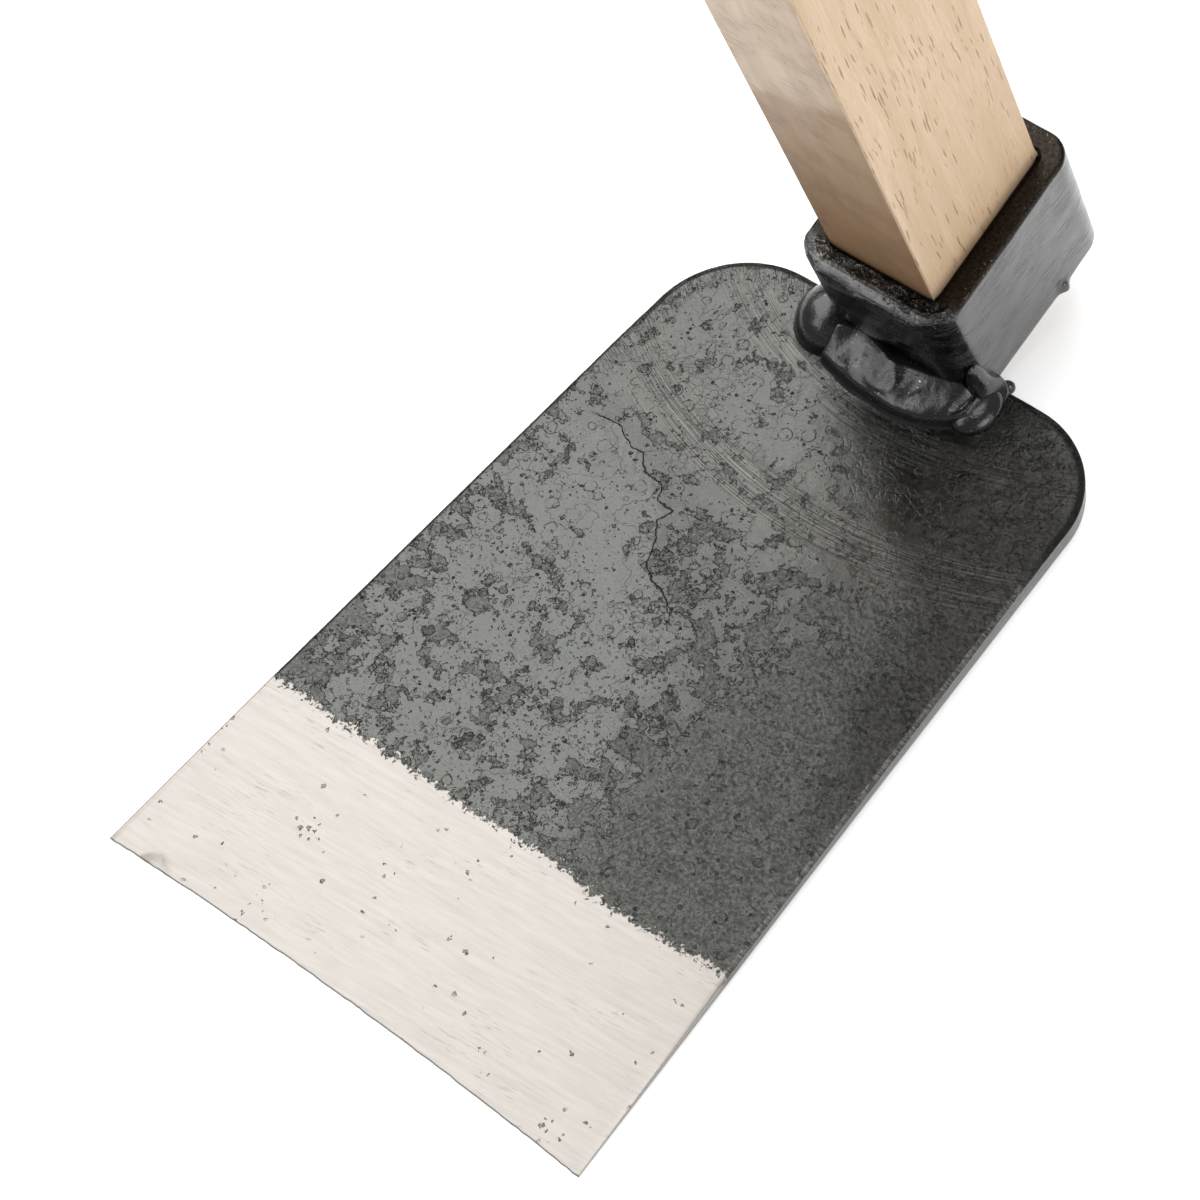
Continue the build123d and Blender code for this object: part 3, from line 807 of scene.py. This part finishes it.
blade_top = section(middle_u, 1) + relief * ease(rim_gap, 0.0, 1.5) - rim_fall + file_marks - 0.03
back_relief = 0.35 * (1 - ease(rim_gap, 0, 1.2)) + 0.10 * (1 + rough(flat, 17.0, 41)) * ease(rim_gap, 0.5, 3)
blade_back = section(middle_u, -1) + 0.03 + back_relief
thin = blade_top - blade_back < LEAST_THICKNESS
middle = (blade_top + blade_back) / 2
blade_top = np.where(thin, middle + LEAST_THICKNESS / 2, blade_top)
blade_back = np.where(thin, middle - LEAST_THICKNESS / 2, blade_back)

# Notch round the front wall of the eye, its edge hidden inside the wall
top_faces = grid_faces(*blade_x.shape)
face_x = blade_x.reshape(-1)[top_faces].mean(1)
face_u = blade_u.reshape(-1)[top_faces].mean(1)
face_y = -EYE_HALF_LENGTH + (face_u - 1.0) * math.cos(LEAN - RISE)
past_x = np.maximum(np.abs(face_x) - (EYE_HALF_WIDTH - EYE_CORNER), 0)
past_y = np.maximum(-face_y - (EYE_HALF_LENGTH - EYE_CORNER), 0)
in_notch = (np.hypot(past_x, past_y) < EYE_CORNER - NOTCH_COVER) & (face_u > -1)
top_faces = top_faces[~in_notch]

# The back is the same grid, turned over, and the two are joined along their border
count = blade_x.size
edges = {}
for face in top_faces:
    for a, b in zip(face, np.roll(face, -1)):
        key = (min(a, b), max(a, b))
        edges[key] = None if key in edges else (a, b)
side_faces = [[b, a, a + count, b + count] for a, b in filter(None, edges.values())]
blade_faces = [*top_faces, *(top_faces[:, ::-1] + count), *side_faces]
blade_points = np.concatenate(
    [on_face(blade_x, blade_u, level).reshape(-1, 3) for level in (blade_top, blade_back)]
)
blade_points[:, 2] = np.maximum(blade_points[:, 2], cad_low[2])
BACK_SHIFT = 400.0  # so that the back has other marks than the inner face
place = np.stack([blade_x, blade_u, blade_top], -1).reshape(-1, 3)
place_back = np.stack([blade_x + BACK_SHIFT, blade_u, blade_back], -1).reshape(-1, 3)
marks = np.stack([rim_gap, plate_gap, 0 * rim_gap], -1).reshape(-1, 3)
make_piece(
    "forged_blade",
    blade_points,
    blade_faces,
    {"place": np.concatenate([place, place_back]), "marks": np.concatenate([marks, marks])},
    ["blade"],
    STEEL,
)

# ------------------------------------------------------------------ eye ring
RING_EDGE = 1.3  # rounding of the ring's outer edges
INNER_CORNER = 2.0
NUB_Y, NUB_HEIGHT = 10.0, 1.6  # drop of metal left on the right wall, by the far rim
outer, outward = rounded_rectangle(EYE_HALF_WIDTH, EYE_HALF_LENGTH, EYE_CORNER, 26, 50, 70)
inner, _ = rounded_rectangle(EYE_HALF_WIDTH - STRAP, EYE_HALF_LENGTH - STRAP, INNER_CORNER, 26, 50, 70)
loops = []


def ring_loop(inset, z, share=0.0, rim_top=0.0, worn=0.0):
    """Adds a loop of the ring: inset from the outside, or part of the way (share) to the inside."""
    outline = (outer - outward * inset) * (1 - share) + inner * share
    loops.append((outline, z, rim_top, worn))


def edge_wear(z):
    return 0.8 * math.exp(-(((z + 0.4) / 0.9) ** 2))


for t in np.linspace(0, math.pi / 2, 7):
    ring_loop(RING_EDGE * (1 - math.sin(t)), -EYE_DEPTH + RING_EDGE * (1 - math.cos(t)))
for z in np.linspace(-EYE_DEPTH + RING_EDGE, -RING_EDGE, 72)[1:-1]:
    ring_loop(0.0, z)
for t in np.linspace(0, math.pi / 2, 8):
    z = -RING_EDGE + RING_EDGE * math.sin(t)
    ring_loop(RING_EDGE * (1 - math.cos(t)), z, 0.0, 0.5 + 0.5 * math.sin(t), edge_wear(z))
for share in np.linspace(0, 1, 16)[1:]:
    worn = edge_wear(0.0) if share < 0.3 else 0.0
    ring_loop(RING_EDGE * (1 - share), -0.5 * ease(share, 0.8, 1.0), share, 1.0, worn)
for z in np.linspace(-1.5, -EYE_DEPTH + 0.6, 12):
    ring_loop(0.0, z, 1.0, 0.3)
for share in np.linspace(1, 0, 10)[:-1]:
    ring_loop(RING_EDGE * (1 - share), -EYE_DEPTH, share, 0.6)
ring_xy, ring_z, ring_top, ring_wear = (np.array(values) for values in zip(*loops))
ring_z, ring_top, ring_wear = (values[:, None] + np.zeros(len(outer)) for values in (ring_z, ring_top, ring_wear))

# Uneven walls, a front rim melted out of shape, and the nub
ring_place = np.concatenate([ring_xy, ring_z[..., None]], -1)
x, y = ring_xy[..., 0], ring_xy[..., 1]
wobble = 0.22 * lumps(ring_place, 17.0, 51) + 0.10 * lumps(ring_place, 6.0, 52)
is_outer = np.linalg.norm(ring_xy - inner, axis=-1) > 1.0
front = ease(-y, 19.0, 27.0)
upper = ease(ring_z, -6.0, -0.5)
melt = 0.55 * rough(ring_place, 3.4, 53) * front * upper
nub = NUB_HEIGHT * np.exp(-(((y - NUB_Y) / 1.7) ** 2)) * ease(-ring_z, 43.0, 45.5) * (x > 20.0)
front_right = ease(x, 19.0, 23.0) * ease(-y, 18.0, 23.0) * ease(-ring_z, 22.0, 36.0)
ring_wear = np.maximum(ring_wear, 0.9 * front_right)
ring_xy = ring_xy - outward * ((0.25 + wobble - 0.9 * melt - nub) * is_outer)[..., None]
sagged = (0.7 * melt - 0.35 * front) * upper * is_outer + 0.06 * rough(ring_place, 2.5, 57) * upper
ring_z = ring_z + np.where(ring_z > -EYE_DEPTH / 2, sagged, 0)
ring_faces = grid_faces(ring_z.shape[0] + 1, ring_z.shape[1], closed=True) % ring_z.size
make_piece(
    "square_eye",
    on_eye(ring_xy[..., 0], ring_xy[..., 1], ring_z),
    ring_faces,
    {
        "place": np.concatenate([ring_xy, ring_z[..., None]], -1),
        "marks": np.stack(np.broadcast_arrays(lengths_round(outer), ring_wear, ring_top), -1),
    },
    ["eye_ring"],
    EYE_BLACK,
)

# Lip of metal folded over the front wall, where the strap's ends were joined
LX, LT = np.meshgrid(np.linspace(-19.0, 21.0, 190), np.linspace(0.0, 1.0, 44), indexing="ij")
past_corner = np.maximum(np.abs(LX) - (EYE_HALF_WIDTH - EYE_CORNER), 0)
front_y = -(EYE_HALF_LENGTH - EYE_CORNER) - np.sqrt(np.maximum(EYE_CORNER**2 - past_corner**2, 0.0))
droop = 3.0 + 0.8 * lumps(plane_points(LX, 0), 3.0, 61)
droop += 5.0 * np.exp(-(((LX + 9.0) / 5.0) ** 2)) + 1.6 * np.exp(-(((LX - 13.0) / 5.0) ** 2))
lip_z = -0.1 - LT * droop
lip_points = np.stack([LX, front_y, lip_z], -1)
taper = np.minimum(ease(LX, -19.0, -12.0), ease(-LX, -21.0, -14.0))
proud = (0.25 + 1.15 * np.sin(math.pi * np.clip(LT * 1.02, 0, 1)) ** 0.7) * taper
proud -= 0.5 * ease(LT, 0.9, 1.0) + 0.35 * (1 - taper)
crumpled = 0.25 * rough(lip_points, 2.2, 62) + 0.25 * lumps(lip_points, 1.0, 63) * ease(LX, 6.0, 12.0)
lip_y = front_y - (proud + crumpled * np.sin(math.pi * LT)) + 0.15
lip_y[:, [0, -1]] = front_y[:, [0, -1]] + 2.0  # its borders are hidden inside the wall
make_piece(
    "eye_lip",
    on_eye(LX, lip_y, lip_z),
    grid_faces(*LX.shape),
    {
        "place": np.stack([LX, lip_y, lip_z], -1),
        "marks": np.stack(np.broadcast_arrays(LX, 0.45 * np.exp(-(((LT - 0.4) / 0.3) ** 2)), 0.28), -1),
    },
    ["eye_seam"],
    EYE_BLACK,
)

# ------------------------------------------------------------------ welds at the neck
WELD_SPACING = 0.28
SKIRT = 0.9  # how far the welds go down into the blade
weld_x = np.arange(-35.0, 34.01, WELD_SPACING)
WX, WU = np.meshgrid(weld_x, np.arange(-18.0, 12.01, WELD_SPACING), indexing="ij")
weld_flat = plane_points(WX, WU)


def mound(cx, cu, rx, ru, height, turn=0.0):
    """A rounded lump on the face."""
    c, s = math.cos(math.radians(turn)), math.sin(math.radians(turn))
    a, b = (WX - cx) * c + (WU - cu) * s, -(WX - cx) * s + (WU - cu) * c
    d = np.hypot(a / rx, b / ru)
    return height * np.sqrt(np.clip(1 - d**2, 0, 1)) - 30.0 * np.clip(d - 1, 0, 1)


def blended(a, b, k):
    """The higher of two surfaces, with a fillet of about that size where they meet."""
    h = np.clip(0.5 + 0.5 * (a - b) / k, 0, 1)
    return b * (1 - h) + a * h + k * h * (1 - h)


def along(values_x, values):
    """A level that changes smoothly along the weld, through these few points."""
    stations = np.arange(-40.0, 40.0, WELD_SPACING)
    kernel = np.hanning(13) / np.hanning(13).sum()
    level = np.pad(np.interp(stations, values_x, values), len(kernel) // 2, mode="edge")
    return np.interp(weld_x, stations, np.convolve(level, kernel, mode="valid"))[:, None]


def weld_piece(name, height, ground, replaces, column=None):
    """The part of a height field that stands above the blade's face, with a column if one is given."""
    faces = grid_faces(*WX.shape)
    faces = faces[(height > -SKIRT).reshape(-1)[faces].all(1)]
    used = np.unique(faces)
    lookup = np.full(WX.size, -1)
    lookup[used] = np.arange(len(used))
    level = np.maximum(height, -SKIRT)
    # Where the weld sinks to the blade's face; the weld's material paints shade there
    crevice_shade = ease(-level, -1.0, 0.3)
    at = np.stack([WX, WU, level], -1).reshape(-1, 3)[used]
    data = np.stack([ground, crevice_shade, 0 * crevice_shade], -1).reshape(-1, 3)[used]
    faces = lookup[faces]
    if column is not None:
        faces = np.concatenate([faces, grid_faces(*column.shape[:2], closed=True) + len(at)])
        at = np.concatenate([at, column.reshape(-1, 3)])
        data = np.concatenate([data, np.zeros((column[..., 0].size, 3))])
    points = on_face(at[:, 0], at[:, 1], at[:, 2])
    make_piece(name, points, faces, {"place": at, "marks": data}, replaces, WELD_BLACK)


# Root bead: low along the wall, with a smooth lobe on the left and a foot for the gusset on the right
root_body = mound(0.0, 2.0, 26.0, 8.0, 6.0)
left_lobe = mound(-22.5, 0.5, 9.6, 11.0, 9.0, 22.0)
right_foot = mound(24.8, -1.0, 6.2, 8.2, 3.6)
root_height = blended(blended(root_body, left_lobe, 1.6), right_foot, 1.6)
root_height += 0.12 * rough(weld_flat, 6.0, 71, 2) * ease(root_height, 0.0, 2.0)

# Gusset: a smooth column from a wide foot on the face up the ring's right side wall
GUSSET_TOP, GUSSET_NECK = 14.5, 7.5
tall = np.linspace(-1.5, GUSSET_TOP, 70)[:, None]
turned = np.linspace(0, 2 * math.pi, 72, endpoint=False)[None, :]
wall_lean = -(up_handle @ up_face) / (up_handle @ off_face)
spread = np.exp(-np.clip(tall, 0, None) / 3.4)
above_neck = np.clip((tall - GUSSET_NECK) / (GUSSET_TOP - GUSSET_NECK), 0, 1)
domed = np.sqrt(1.0001 - above_neck**2).clip(0, 1)
gusset_x = 22.7 + (1.5 + 5.0 * spread) * domed * np.cos(turned)
gusset_u = 4.6 - wall_lean * tall + (3.0 + 3.4 * spread) * domed * np.sin(turned)
gusset = np.stack(np.broadcast_arrays(gusset_x, gusset_u, tall), -1)

# Cap bead: ground to a slope from its toe up to a wavy crest close under the wall
toe_line = along(
    [-26, -20, -14, -6, 1, 8, 16, 22, 27], [-7.0, -10.2, -12.0, -14.2, -14.3, -14.9, -13.4, -10.0, -5.0]
)
crest_line = along(
    [-20, -17, -13, -10, -4, 1, 7, 13, 18, 25], [-6.5, -4.0, -2.0, -1.4, -2.8, -5.0, -4.0, -2.9, -1.4, 2.0]
)
climb = (WU - toe_line) / (crest_line - toe_line)
slope = np.clip(climb, 0, 1)
cap_height = 2.1 * ease(climb, -0.02, 0.14) + 5.0 * slope**0.85
cap_height += 0.8 * np.exp(-(((WX + 16.0) / 3.0) ** 2)) * slope
bulges = 0.42 * rough(weld_flat, 7.0, 73, 2)
bulges += 0.9 * np.exp(-(((WX - 2.0) / 4.5) ** 2) - (((WU + 9.5) / 2.6) ** 2))
levelled = 0.25 + 0.35 * ease(lumps(weld_flat, 12.0, 78), -0.3, 0.6)
is_ground = ease(bulges - levelled, -0.35, 0.05) * ease(climb, 0.10, 0.25) * ease(-climb, -1.02, -0.9)
cap_height += np.minimum(bulges, levelled) * ease(climb, 0.0, 0.25)
crease = np.exp(-(((WX - 22.0 - 0.25 * (WU + 8)) / 1.3) ** 2))
cap_height -= 1.3 * crease * ease(climb, 0.15, 0.4)
crumbs = 0.12 * np.abs(rough(weld_flat, 2.8, 74, 2)) * np.exp(-(((WX - 5.0) / 9.0) ** 2))
cap_height += crumbs * ease(climb, 0.2, 0.5)
cap_height -= 0.9 * ease(climb, 1.0, 1.4) - 0.5 * ease(climb, 1.4, 2.0)
cap_height -= 2.6 * np.clip(WU + 0.5, 0, None) * ease(WX, 20.0, 23.0)  # it stops short of the gusset
between_ends = ease(WX, -19.5, -16.6) * ease(-WX, -28.5, -25.0)
cap_height = cap_height * between_ends - 3.0 * (1 - between_ends) - 12.0 * np.clip(-climb, 0, 1)

weld_piece("weld_root", root_height, 0.20 * ease(root_height, 2, 6), ["neck_weld_root"], gusset)
weld_piece("weld_cap", cap_height, is_ground, ["neck_weld_cap"])

# Side beads, in the corners between the blade's top edge and the eye's side walls
angle, lift = np.meshgrid(
    np.linspace(0, 2 * math.pi, 40, endpoint=False), np.linspace(-math.pi / 2, math.pi / 2, 24)
)
sphere = np.stack([np.cos(angle) * np.cos(lift), np.sin(angle) * np.cos(lift), np.sin(lift)], -1)
for side, name, fullness in ((-1, "left", 0.95), (1, "right", 0.75)):
    low, high = (np.array(c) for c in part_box("side_bead_" + name))
    swell = fullness + 0.04 * lumps(sphere * 5 + side, 4.0, 81 + side)
    offset = sphere * (high - low) / 2 * swell[..., None]
    make_piece(
        "bead_" + name,
        (low + high) / 2 + offset,
        grid_faces(*angle.shape, closed=True),
        {"place": offset / MM, "marks": np.zeros(offset.shape)},
        ["side_bead_" + name],
        WELD_BLACK,
    )

# ------------------------------------------------------------------ handle
ARRIS, TENON_CORNER = 0.7, 2.4  # corner radii of the handle's rectangle, above the eye and inside it


def handle_loop(z):
    """Cross-section of the handle at that height: tenon, rectangle, blend, round grip."""
    blend = ease(z, SQUARE_REACH, BLEND_REACH)
    half_x = WOOD_HALF_WIDTH * (1 - blend) + GRIP_RADIUS * blend
    half_y = WOOD_HALF_DEPTH * (1 - blend) + GRIP_RADIUS * blend
    radius = ARRIS * (1 - blend) + (GRIP_RADIUS - 0.01) * blend if z >= 0 else TENON_CORNER
    butt = max(0.0, z - (HANDLE_REACH - BUTT_RADIUS))
    inset = BUTT_RADIUS - math.sqrt(max(BUTT_RADIUS**2 - butt**2, 0))
    return rounded_rectangle(half_x - inset, half_y - inset, max(radius - inset, 0.3), 12, 22, 30)


heights = np.concatenate(
    [
        np.linspace(-EYE_DEPTH + 0.3, -0.6, 12),
        [-0.3, 0.0],
        np.arange(1.5, 130.0, 1.5),
        np.arange(130.0, SQUARE_REACH, 5.0),
        np.linspace(SQUARE_REACH, BLEND_REACH, 45),
        np.linspace(BLEND_REACH, HANDLE_REACH - BUTT_RADIUS, 60)[1:],
        HANDLE_REACH - BUTT_RADIUS + BUTT_RADIUS * np.sin(np.linspace(0, math.pi / 2, 9)[1:]),
    ]
)
handle_xy, handle_out = (np.array(values) for values in zip(*(handle_loop(z) for z in heights)))
handle_z = heights[:, None] + 0 * handle_xy[..., 0]
wood_place = np.concatenate([handle_xy, handle_z[..., None]], -1)

# Planed dents, worn arrises, and splinters on the right where it enters the eye
at_corner = ease(np.minimum(np.abs(np.abs(handle_out[..., 0]) - math.sqrt(0.5)), 0.3), 0.3, 0.05)
dents = 0.05 * lumps(wood_place, 22.0, 91) + 0.02 * lumps(wood_place, 5.0, 92)
fuzz = 0.16 * np.abs(lumps(wood_place * [1, 1, 0.8], 1.7, 93)) + 0.10
fuzz *= at_corner * ease(handle_z, -1, 1)
splinters = at_corner * (handle_xy[..., 0] > 0) * np.exp(-((handle_z - 0.8) ** 2))
splinters *= 0.9 + 0.5 * lumps(wood_place, 0.8, 94)
inset = (0.06 + dents + fuzz - splinters) * ease(handle_z, -2.0, 1.0)
handle_xy = handle_xy - handle_out * inset[..., None]

is_front = ease(-handle_out[..., 1], 0.7, 0.9)
wood_around = lengths_round(handle_xy[20])  # any loop of the rectangle will do
wood_marks = np.stack(np.broadcast_arrays(wood_around, is_front, 0 * is_front), -1).reshape(-1, 3)
end_place = np.array([[0, 0, heights[0]], [0, 0, heights[-1]]])
handle_place = np.concatenate([np.concatenate([handle_xy, handle_z[..., None]], -1).reshape(-1, 3), end_place])
make_piece(
    "beech_handle",
    on_eye(*handle_place.T),
    [
        *grid_faces(*handle_z.shape, closed=True),
        *end_fan(*handle_z.shape),
        *end_fan(*handle_z.shape, last=True),
    ],
    {"place": handle_place, "marks": np.concatenate([wood_marks, np.zeros((2, 3))])},
    ["handle"],
    BEECH,
)

# Wedge, flush with the far end of the handle
WEDGE_HALF_WIDTH, WEDGE_LENGTH, WEDGE_THICK_HALF, WEDGE_THIN_HALF = 13.0, 30.0, 2.5, 0.8
wedge_shape, _ = rounded_rectangle(1.0, 1.0, 0.18, 4, 12, 6)
deep = np.linspace(0, 1, 16)[:, None]
wedge_place = np.stack(
    np.broadcast_arrays(
        wedge_shape[:, 0] * WEDGE_HALF_WIDTH,
        wedge_shape[:, 1] * (WEDGE_THICK_HALF + (WEDGE_THIN_HALF - WEDGE_THICK_HALF) * deep),
        -EYE_DEPTH + 0.05 + WEDGE_LENGTH * deep,
    ),
    -1,
)
wedge_place[..., :2] *= 1 - 0.02 * np.abs(lumps(wedge_place, 3.0, 95))[..., None]
wedge_grid = wedge_place.shape[:2]
wedge_place = np.concatenate([wedge_place.reshape(-1, 3), [[0, 0, -EYE_DEPTH + 0.05]]])
make_piece(
    "driven_wedge",
    on_eye(*wedge_place.T),
    [*grid_faces(*wedge_grid, closed=True), *end_fan(*wedge_grid)],
    {"place": wedge_place},
    ["wedge"],
    WEDGE_WOOD,
)

# ------------------------------------------------------------------ floor, light and camera
FLOOR_HALF, FLOOR_LEVEL = 6.0, -0.00008  # metres
FLOOR_GLOW, SKY_STRENGTH = 0.40, 0.32
floor_corners = [(x * FLOOR_HALF, y * FLOOR_HALF, FLOOR_LEVEL) for x, y in ((-1, -1), (1, -1), (1, 1), (-1, 1))]
floor_mesh = bpy.data.meshes.new("floor")
floor_mesh.from_pydata(floor_corners, [], [(0, 1, 2, 3)])
floor = bpy.data.objects.new("floor", floor_mesh)
bpy.context.scene.collection.objects.link(floor)
pale = Finish("pale_floor")
floor_mesh.materials.append(pale.finish((0.93, 0.93, 0.93), 0.9, 0.0, 0.0))
pale.put(pale.surface.inputs["Emission Color"], (1.0, 1.0, 1.0))
pale.put(pale.surface.inputs["Emission Strength"], FLOOR_GLOW)
floor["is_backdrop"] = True


def softbox(name, location, target, size, power):
    """A square area light at the location, turned to the target; metres and watts."""
    light = bpy.data.lights.new(name, "AREA")
    light.shape, light.size, light.energy = "SQUARE", size, power
    lamp = bpy.data.objects.new(name, light)
    lamp.location = location
    lamp.rotation_mode = "QUATERNION"
    lamp.rotation_quaternion = (Vector(target) - Vector(location)).to_track_quat("-Z", "Y")
    bpy.context.scene.collection.objects.link(lamp)


world = bpy.data.worlds.new("studio")
bpy.context.scene.world = world
world.use_nodes = True
world.node_tree.nodes["Background"].inputs[0].default_value = (1.0, 1.0, 1.0, 1.0)
world.node_tree.nodes["Background"].inputs[1].default_value = SKY_STRENGTH
softbox("top_light", (-1.18, 0.70, 2.2), (-0.18, -0.20, 0), 3.0, 88)
softbox("right_light", (2.2, 0.2, 1.2), (0, 0.1, 0.1), 1.6, 24)
softbox("front_light", (-1.0, -1.2, 1.9), (0, 0.1, 0), 0.9, 6.5)

# Camera at the photograph's viewing angle, aimed at a point of the blade's inner face
CAMERA_AZIMUTH, CAMERA_ELEVATION, CAMERA_ROLL = 50.1, 56.45, -12.55
CAMERA_DISTANCE, CAMERA_LENS = 898.6, 108.44
CAMERA_AIM = (-18.3, -99.5, 0.0)
camera_data = bpy.data.cameras.new("camera")
camera_data.lens, camera_data.sensor_width = CAMERA_LENS, 36.0
camera_data.clip_start, camera_data.clip_end = 0.05, 30.0
camera = bpy.data.objects.new("camera", camera_data)
azimuth, elevation, roll = (math.radians(a) for a in (CAMERA_AZIMUTH, CAMERA_ELEVATION, CAMERA_ROLL))
flat_reach = math.cos(elevation)
back = Vector((math.sin(azimuth) * flat_reach, -math.cos(azimuth) * flat_reach, math.sin(elevation)))
level_right = Vector((math.cos(azimuth), math.sin(azimuth), 0))
level_up = back.cross(level_right)
right_axis = level_right * math.cos(roll) + level_up * math.sin(roll)
up_axis = back.cross(right_axis)
turn = Matrix((right_axis, up_axis, back)).transposed().to_4x4()
aim = Vector(on_face(*CAMERA_AIM))
camera.matrix_world = Matrix.Translation(aim + back * CAMERA_DISTANCE * MM) @ turn
bpy.context.scene.collection.objects.link(camera)
bpy.context.scene.camera = camera
bpy.context.scene.view_settings.view_transform = "Standard"

low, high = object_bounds()
